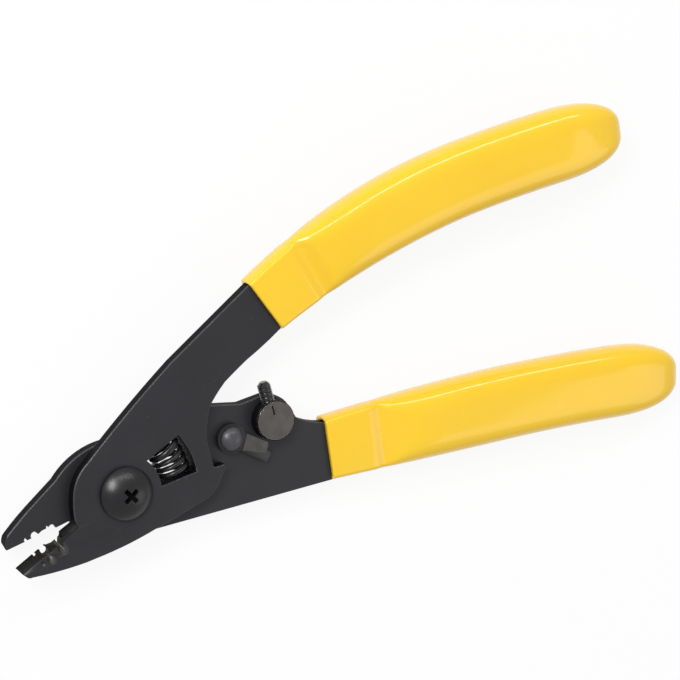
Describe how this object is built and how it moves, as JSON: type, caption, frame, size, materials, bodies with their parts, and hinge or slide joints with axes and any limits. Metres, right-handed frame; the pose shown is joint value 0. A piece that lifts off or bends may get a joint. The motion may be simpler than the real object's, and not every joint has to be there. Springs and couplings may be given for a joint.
{
  "type": "fibre stripper",
  "caption": "Hand tool for stripping optical fibre: two pivoted steel jaw levers with graded notches, return spring, adjustable closing stop, swinging lock and dipped vinyl grips.",
  "frame": {"origin": "on the pivot axis, in the plane the tool rests on when laid on its back (end face of the pivot screw)", "axes": "+Z out of the front, along the pivot axis; +X from the pivot towards the handles; +Y towards the front lever's handle"},
  "size_m": [0.1661, 0.0772, 0.0131],
  "materials": {
    "plate_steel": "satin black oxide",
    "vinyl": "glossy dipped vinyl",
    "black_steel": "glossy black oxide",
    "spring_steel": "glossy black, oiled",
    "bare_steel": "plain brushed steel"
  },
  "bodies": {
    "rear": {"rear_lever": "plate_steel", "lower_grip": "vinyl", "pivot_screw": "black_steel", "pivot_washer": "black_steel", "pivot_nut": "black_steel", "return_spring": "spring_steel", "lock_rivet": "black_steel", "lock_washer": "bare_steel", "stop_post": "bare_steel"},
    "front": {"front_lever": "plate_steel", "upper_grip": "vinyl"},
    "lock": {"lock_lever": "bare_steel"},
    "stop": {"stop_screw": "black_steel"}
  },
  "joints": [
    {"name": "handle_pivot", "type": "hinge", "parent": "rear", "child": "front", "pos_m": [0, 0, 0], "axis": [0, 0, -1], "range_deg": [0, 9.7], "stiffness_Nm_per_rad": 2, "springref_deg": -5.73, "deforming": ["return_spring"]},
    {"name": "lock_swing", "type": "hinge", "parent": "rear", "child": "lock", "pos_m": [0.0268, 0.0019, 0], "axis": [0, 0, -1], "range_deg": [0, 45]},
    {"name": "stop_adjust", "type": "slide", "parent": "rear", "child": "stop", "axis": [0, 1, 0], "range_m": [-0.0015, 0]}
  ]
}
